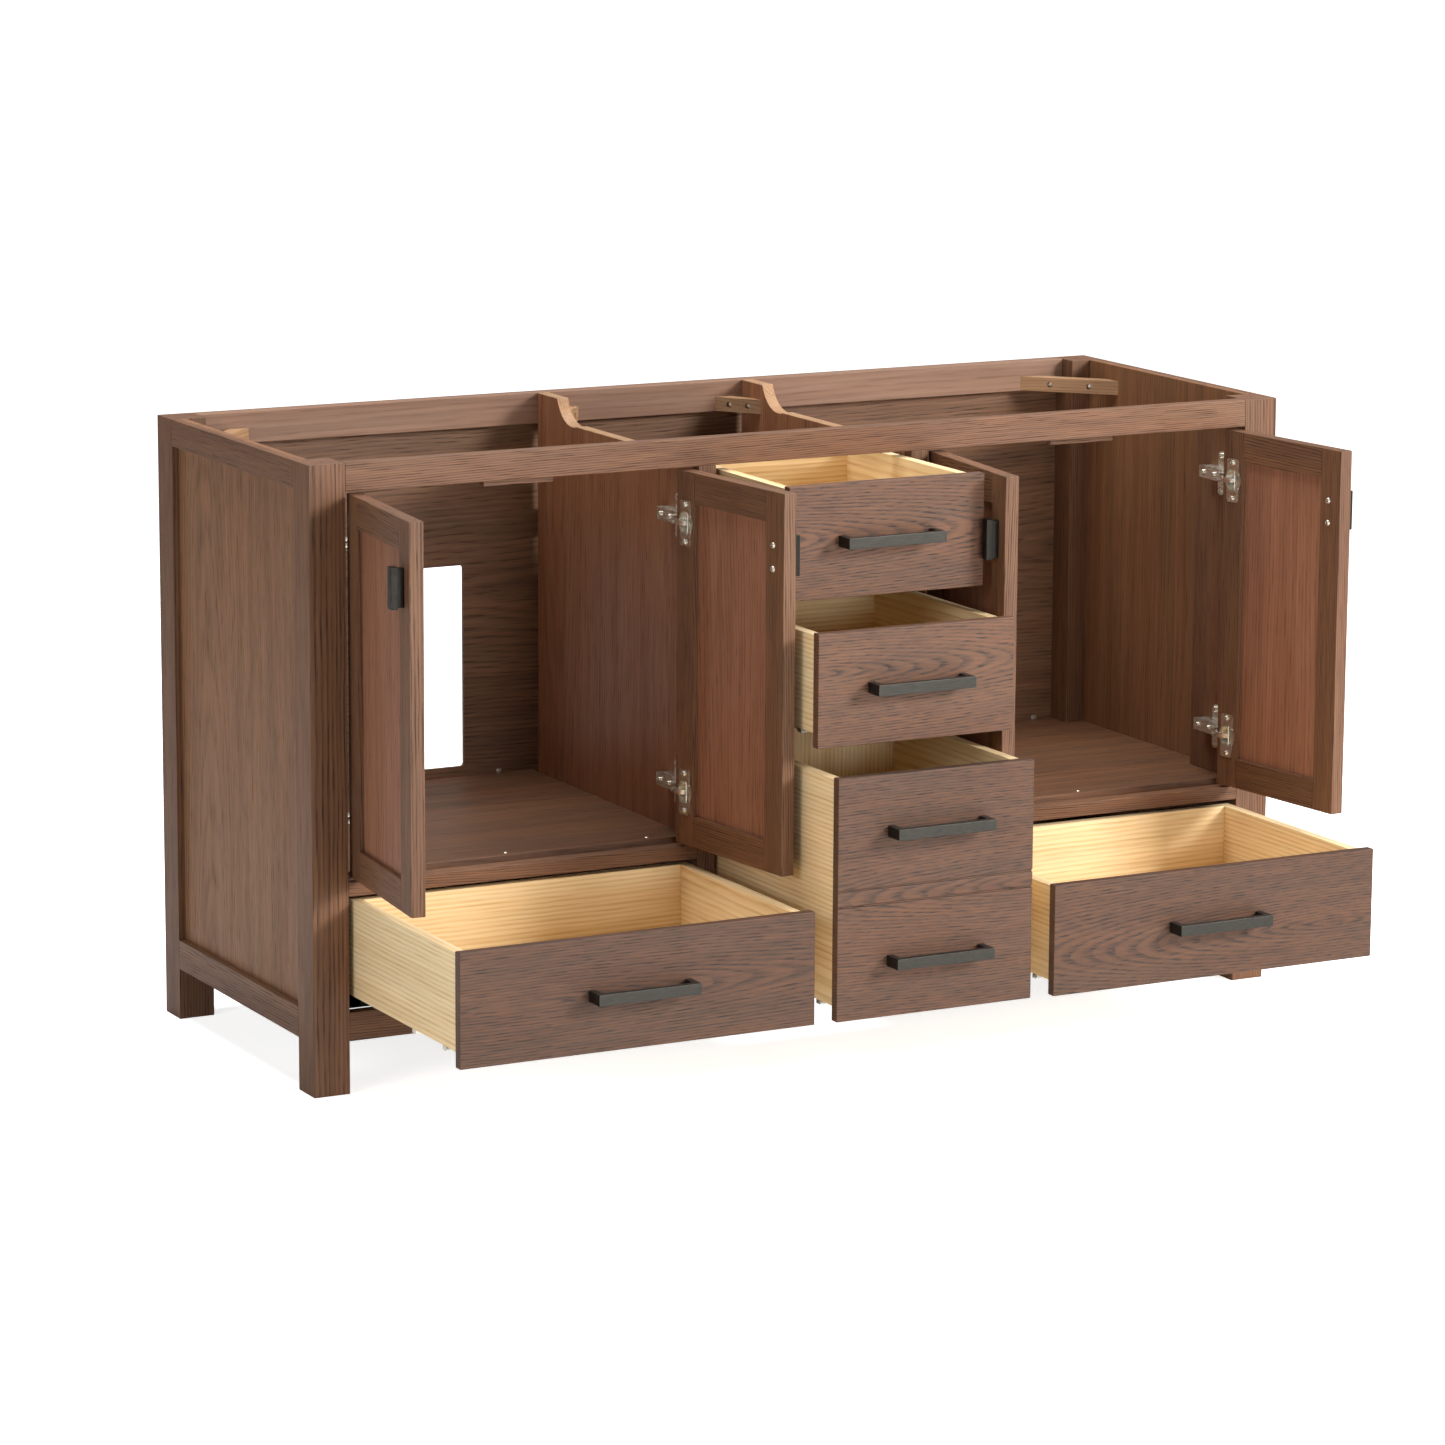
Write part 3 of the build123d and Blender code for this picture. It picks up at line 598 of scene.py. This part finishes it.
def carcass():
    """The wooden pieces that stay put."""
    for node in ("front_posts", "back_posts", "side_rails", "front_top_rail", "front_apron",
                 "centre_stiles", "face_frame_rails", "hinge_cleats", "door_stops"):
        finished(node, OAK)
    finished("side_panels", SIDE)
    finished("bay_floors", FLOOR)
    finished("partitions", VENEER, top=RAW)
    finished("back_panel", BACKING)
    finished("back_rails", SMOOTH)
    finished("runner_cleats", SMOOTH)
    finished("braces", RAW, bevel=0.002)


def doors():
    """Frames, panels and hardware of the doors."""
    for door in DOORS:
        finished(door + "_frame", OAK)
        finished(door + "_panel", PANEL)
        finished(door + "_hinge_cups", NICKEL, bevel=0.0003)
        cups = frame["nodes"][door + "_hinge_cups"].data
        screws(door + "_hinge_screws", door, discs(cups, largest=0.0045))
        knob(door)


def knob(door):
    """The bar knob on its neck, and the heads of its two screws inside the door."""
    mesh = frame["nodes"][door + "_knob"].data
    middle = sum((vert.co for vert in mesh.vertices), Vector()) / len(mesh.vertices)
    shape = Shape(door + "_knob_finished")
    for part in solids(mesh):
        # The bar and its neck are blocks, and the round parts are the screws.
        if len(part.faces) == 6:
            soften(part, width=0.0008)
            # The bar and neck take the gunmetal made darker as painted shade.
            shape.add(part, KNOB_SHADED_GUNMETAL)
        part.free()
    heads = [disc for disc in discs(mesh) if (disc[0] - middle).dot(disc[1]) > 0]
    for centre, normal, radius in heads:
        base = centre - normal * KNOB_SCREW_HEIGHT
        head = put(screw_head(radius, KNOB_SCREW_HEIGHT), base, normal)
        shape.add(head, SCREW, axes=(UP, normal.cross(UP), normal))
        head.free()
    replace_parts(shape.build(door, "gunmetal"), door + "_knob")


def drawers():
    """Fronts, boxes, pulls, runners and runner clips of the drawers."""
    for drawer in DRAWERS:
        # Each front's tone is its stain plus painted shade: the lower and side fronts are
        # darker.
        finished(drawer + "_front", FRONT_OAK, bevel=0.0015, along=(1, 0, 0), tilt=0.12,
                 heart=(0.01, 0.03), aside=(0.0, 0.03), tone=FRONT_STAIN_AND_SHADE[drawer])
        finished(drawer + "_box", PINE, bevel=0.0006, heart=(0.03, 0.08), aside=(0.06, 0.16),
                 tilt=0.02)
        finished(drawer + "_pull", GUNMETAL, bevel=0.0008)
        finished(drawer + "_runners", RUNNER, bevel=0.0004)
        finished(drawer + "_middle_runners", RUNNER, bevel=0.0004)
        clips(drawer)


def clips(drawer):
    """Small catches under the sides of a drawer's box."""
    low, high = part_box(drawer + "_box")
    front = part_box(drawer + "_front")[1][1]
    shape = Shape(drawer + "_clips")
    for near, far in ((low[0], low[0] + CLIP[0]), (high[0] - CLIP[0], high[0])):
        for behind in CLIP_PLACES:
            start = front + behind
            slab(shape, (near, start, low[2] - CLIP[2]), (far, start + CLIP[1], low[2]),
                 NICKEL, bevel=0.0008)
    shape.build(drawer, "nickel")


def fixed_hardware():
    """Hinge arms, runner channels, brace screws and the small fittings of the floors."""
    finished("hinge_arms", NICKEL, bevel=0.0004)
    screws("hinge_arm_screws", "cabinet", discs(frame["nodes"]["hinge_arms"].data))
    finished("runner_channels", RUNNER, bevel=0.0003)
    inward = [disc for disc in discs(frame["nodes"]["brace_screws"].data) if disc[1].y < 0]
    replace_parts(screws("brace_screws_finished", "cabinet", inward), "brace_screws")
    floor_fittings()


def floor_fittings():
    """Screws near the front of each bay's floor, and clips where it meets the back."""
    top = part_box("bay_floors")[1][2]
    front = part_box("bay_floors")[0][1]
    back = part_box("back_panel")[0][1]
    places = [(Vector((side * x, front + FLOOR_SCREW_INSET, top)), UP, FLOOR_SCREW_RADIUS)
              for side in (-1, 1) for x in FLOOR_SCREWS]
    screws("floor_screws", "cabinet", places, height=FLOOR_SCREW_HEIGHT)
    shape = Shape("back_clips")
    for x in [side * x for side in (-1, 1) for x in BACK_CLIPS]:
        slab(shape, (x - BACK_CLIP[0] / 2, back - BACK_CLIP[1], top),
             (x + BACK_CLIP[0] / 2, back, top + BACK_CLIP[2]), NICKEL, bevel=0.001)
    shape.build("cabinet", "nickel")


# ---------------------------------------------------------------- stage
# The view: where the camera looks, in metres in the shared frame, from how far and which way.
TARGET = Vector((-0.00025, 0.19705, 0.4026))
DISTANCE = 7.74021
AZIMUTH, ELEVATION, ROLL = (math.radians(angle) for angle in (-27.79, 11.28, 0.31))
LENS = 133.54
SENSOR_WIDTH = 36
VIEW_DEPTH = 60
# How bright the world is to matt surfaces, and to mirror-like ones.
AMBIENT = 0.03
SURROUND = 0.35
# The floor's radius, how dark its mottles are, and how it glows to the camera near the
# middle and far from it.
FLOOR_REACH = 14
FLOOR_GREY = (0.93, 0.93, 0.93, 1)
FLOOR_MOTTLE = (0.985, 1.0)
MOTTLE = (3, 3, 3)
FLOOR_GLOW = (0.78, 1.0)
GLOW_REACH = (0.9, 3.2)
# name, place, size and watts of each softbox, and the point they face
LIGHTS = (
    ("key", (3.6, -4.2, 2.8), (1.6, 1.6), 425),
    ("overhead", (0.0, 0.6, 4.2), (3.4, 2.2), 230),
    ("left", (-5.6, -2.4, 2.0), (2.2, 2.0), 98),
    ("front_low", (0.5, -5.5, 1.0), (2.0, 1.4), 125),
)
LIT_POINT = Vector((0, 0.2, 0.45))


def camera():
    """The photograph's view."""
    back = Vector((math.sin(AZIMUTH) * math.cos(ELEVATION),
                   -math.cos(AZIMUTH) * math.cos(ELEVATION), math.sin(ELEVATION)))
    right = (-back).cross(UP).normalized()
    up = right.cross(-back)
    turned = right * math.cos(ROLL) + up * math.sin(ROLL)
    upright = up * math.cos(ROLL) - right * math.sin(ROLL)
    data = bpy.data.cameras.new("camera")
    data.lens = LENS
    data.sensor_width = SENSOR_WIDTH
    data.clip_end = VIEW_DEPTH
    eye = bpy.data.objects.new("camera", data)
    bpy.context.scene.collection.objects.link(eye)
    eye.matrix_world = Matrix.Translation(TARGET + back * DISTANCE) @ Matrix(
        (turned, upright, back)).transposed().to_4x4()
    bpy.context.scene.camera = eye


def softbox(name, place, size, power):
    """A large area light that faces the cabinet."""
    data = bpy.data.lights.new(name, "AREA")
    data.shape = "RECTANGLE"
    data.size, data.size_y = size
    data.energy = power
    lamp = bpy.data.objects.new(name, data)
    bpy.context.scene.collection.objects.link(lamp)
    lamp.location = place
    lamp.rotation_euler = (Vector(place) - LIT_POINT).to_track_quat("Z", "Y").to_euler()


def surround():
    """A world that is white to the camera, grey in mirrors and nearly dark otherwise."""
    g = Graph(bpy.data.worlds.new("studio"))
    ray = g.add("LightPath", {}).outputs
    strength = g.math("MULTIPLY_ADD", ray["Is Glossy Ray"], SURROUND - AMBIENT, AMBIENT)
    ambient = g.nodes["Background"]
    g.feed(ambient, "Color", WHITE)
    g.feed(ambient, "Strength", strength)
    backdrop = g.add("Background", {"Color": WHITE})
    seen = g.add("MixShader", {0: ray["Is Camera Ray"], 1: ambient.outputs[0],
                               2: backdrop.outputs[0]})
    g.feed(g.nodes["World Output"], "Surface", seen.outputs[0])
    bpy.context.scene.world = g.owner


def ground():
    """A pale floor that fades into the white backdrop."""
    g = Graph(bpy.data.materials.new("studio_floor"))
    texture = g.add("TexCoord", {}).outputs["Object"]
    shade = g.span(g.noise(texture, MOTTLE), *MIDDLE, *FLOOR_MOTTLE)
    tint = g.blend(shade, FLOOR_GREY, WHITE)
    glow = g.span(g.length(texture), *GLOW_REACH, *FLOOR_GLOW)
    seen = g.add("LightPath", {}).outputs["Is Camera Ray"]
    material = g.finish(Base_Color=tint, Roughness=0.9, Emission_Color=WHITE,
                        Emission_Strength=g.math("MULTIPLY", seen, glow))
    circle = bmesh.new()
    bmesh.ops.create_circle(circle, cap_ends=True, segments=64, radius=FLOOR_REACH)
    mesh = bpy.data.meshes.new("studio_floor")
    circle.to_mesh(mesh)
    circle.free()
    mesh.materials.append(material)
    floor = bpy.data.objects.new("studio_floor", mesh)
    bpy.context.scene.collection.objects.link(floor)


def studio():
    """Pale floor, bright surround and soft lights."""
    bpy.context.scene.view_settings.view_transform = "Standard"
    surround()
    ground()
    for light in LIGHTS:
        softbox(*light)


camera()
studio()
carcass()
doors()
drawers()
fixed_hardware()
